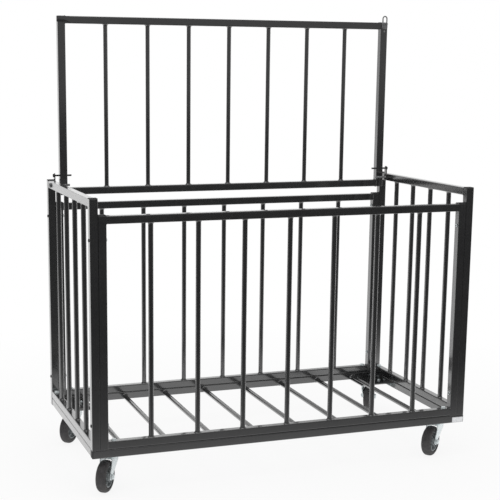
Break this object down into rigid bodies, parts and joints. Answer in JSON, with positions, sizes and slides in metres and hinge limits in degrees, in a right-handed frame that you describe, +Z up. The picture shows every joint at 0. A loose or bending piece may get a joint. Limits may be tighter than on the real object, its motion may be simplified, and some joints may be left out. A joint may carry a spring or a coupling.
{
  "type": "ball cage bin",
  "caption": "Wheeled steel bar cage with an open mouth for storing balls, a barred lid that swings up about rear pivot bolts, a padlock eye and swivel casters",
  "frame": {"origin": "On the floor, at the middle of the object's width and depth as it stands with the lid open", "axes": "X across the width with the padlock side at +X, Y from the front panel at -Y to the back panel at +Y, Z up"},
  "size_m": [1.2794, 0.6608, 1.4677],
  "materials": {
    "powder_coat": "glossy black powder coat over welded steel tube",
    "black_bolt": "black-coated steel fasteners",
    "zinc": "bright zinc-plated steel",
    "tyre": "dark solid rubber tread",
    "wheel_core": "moulded grey wheel centre"
  },
  "bodies": {
    "cage": {"base_frame": "powder_coat", "left_side_panel": "powder_coat", "right_side_panel": "powder_coat", "front_panel": "powder_coat", "back_panel": "powder_coat", "hinge_bolt_left": "black_bolt", "hinge_bolt_right": "black_bolt", "lid_stop_bolt_left": "black_bolt", "lid_stop_bolt_right": "black_bolt", "corner_bolt_front_left_lower": "black_bolt", "corner_bolt_front_left_upper": "black_bolt", "corner_bolt_front_right_lower": "black_bolt", "corner_bolt_front_right_upper": "black_bolt", "corner_bolt_back_left_lower": "black_bolt", "corner_bolt_back_left_upper": "black_bolt", "corner_bolt_back_right_lower": "black_bolt", "corner_bolt_back_right_upper": "black_bolt", "corner_nut_front_left_lower": "zinc", "corner_nut_front_left_upper": "zinc", "corner_nut_front_right_lower": "zinc", "corner_nut_front_right_upper": "zinc", "corner_nut_back_left_lower": "zinc", "corner_nut_back_left_upper": "zinc", "corner_nut_back_right_lower": "zinc", "corner_nut_back_right_upper": "zinc", "base_bolt_front_left_end": "zinc", "base_bolt_front_left_side": "zinc", "base_bolt_front_right_end": "zinc", "base_bolt_front_right_side": "zinc", "base_bolt_back_left_end": "zinc", "base_bolt_back_left_side": "zinc", "base_bolt_back_right_end": "zinc", "base_bolt_back_right_side": "zinc", "caster_plate_front_left": "zinc", "caster_plate_front_right": "zinc", "caster_plate_back_left": "zinc", "caster_plate_back_right": "zinc"},
    "lid": {"lid": "powder_coat", "padlock_eye": "zinc"},
    "fork_front_left": {"caster_fork_front_left": "zinc", "axle_bolt_front_left": "zinc", "axle_nut_front_left": "zinc"},
    "fork_front_right": {"caster_fork_front_right": "zinc", "axle_bolt_front_right": "zinc", "axle_nut_front_right": "zinc"},
    "fork_back_left": {"caster_fork_back_left": "zinc", "axle_bolt_back_left": "zinc", "axle_nut_back_left": "zinc"},
    "fork_back_right": {"caster_fork_back_right": "zinc", "axle_bolt_back_right": "zinc", "axle_nut_back_right": "zinc"},
    "wheel_front_left": {"caster_tyre_front_left": "tyre", "caster_wheel_front_left": "wheel_core"},
    "wheel_front_right": {"caster_tyre_front_right": "tyre", "caster_wheel_front_right": "wheel_core"},
    "wheel_back_left": {"caster_tyre_back_left": "tyre", "caster_wheel_back_left": "wheel_core"},
    "wheel_back_right": {"caster_tyre_back_right": "tyre", "caster_wheel_back_right": "wheel_core"}
  },
  "joints": [
    {"name": "lid_hinge", "type": "hinge", "parent": "cage", "child": "lid", "pos_m": [0, 0.2657, 0.9215], "axis": [1, 0, 0], "range_deg": [0, 97.25]},
    {"name": "swivel_front_left", "type": "hinge", "parent": "cage", "child": "fork_front_left", "pos_m": [-0.567, -0.254, 0.1], "axis": [0, 0, 1], "continuous": true},
    {"name": "swivel_front_right", "type": "hinge", "parent": "cage", "child": "fork_front_right", "pos_m": [0.567, -0.254, 0.1], "axis": [0, 0, 1], "continuous": true},
    {"name": "swivel_back_left", "type": "hinge", "parent": "cage", "child": "fork_back_left", "pos_m": [-0.567, 0.254, 0.1], "axis": [0, 0, 1], "continuous": true},
    {"name": "swivel_back_right", "type": "hinge", "parent": "cage", "child": "fork_back_right", "pos_m": [0.567, 0.254, 0.1], "axis": [0, 0, 1], "continuous": true},
    {"name": "axle_front_left", "type": "hinge", "parent": "fork_front_left", "child": "wheel_front_left", "pos_m": [-0.5888, -0.28513, 0.05], "axis": [0.8192, -0.5736, 0], "continuous": true},
    {"name": "axle_front_right", "type": "hinge", "parent": "fork_front_right", "child": "wheel_front_right", "pos_m": [0.53706, -0.2774, 0.05], "axis": [0.6157, -0.788, 0], "continuous": true},
    {"name": "axle_back_left", "type": "hinge", "parent": "fork_back_left", "child": "wheel_back_left", "pos_m": [-0.59091, 0.22447, 0.05], "axis": [0.7771, -0.6293, 0], "continuous": true},
    {"name": "axle_back_right", "type": "hinge", "parent": "fork_back_right", "child": "wheel_back_right", "pos_m": [0.5888, 0.28513, 0.05], "axis": [-0.8192, 0.5736, 0], "continuous": true}
  ]
}
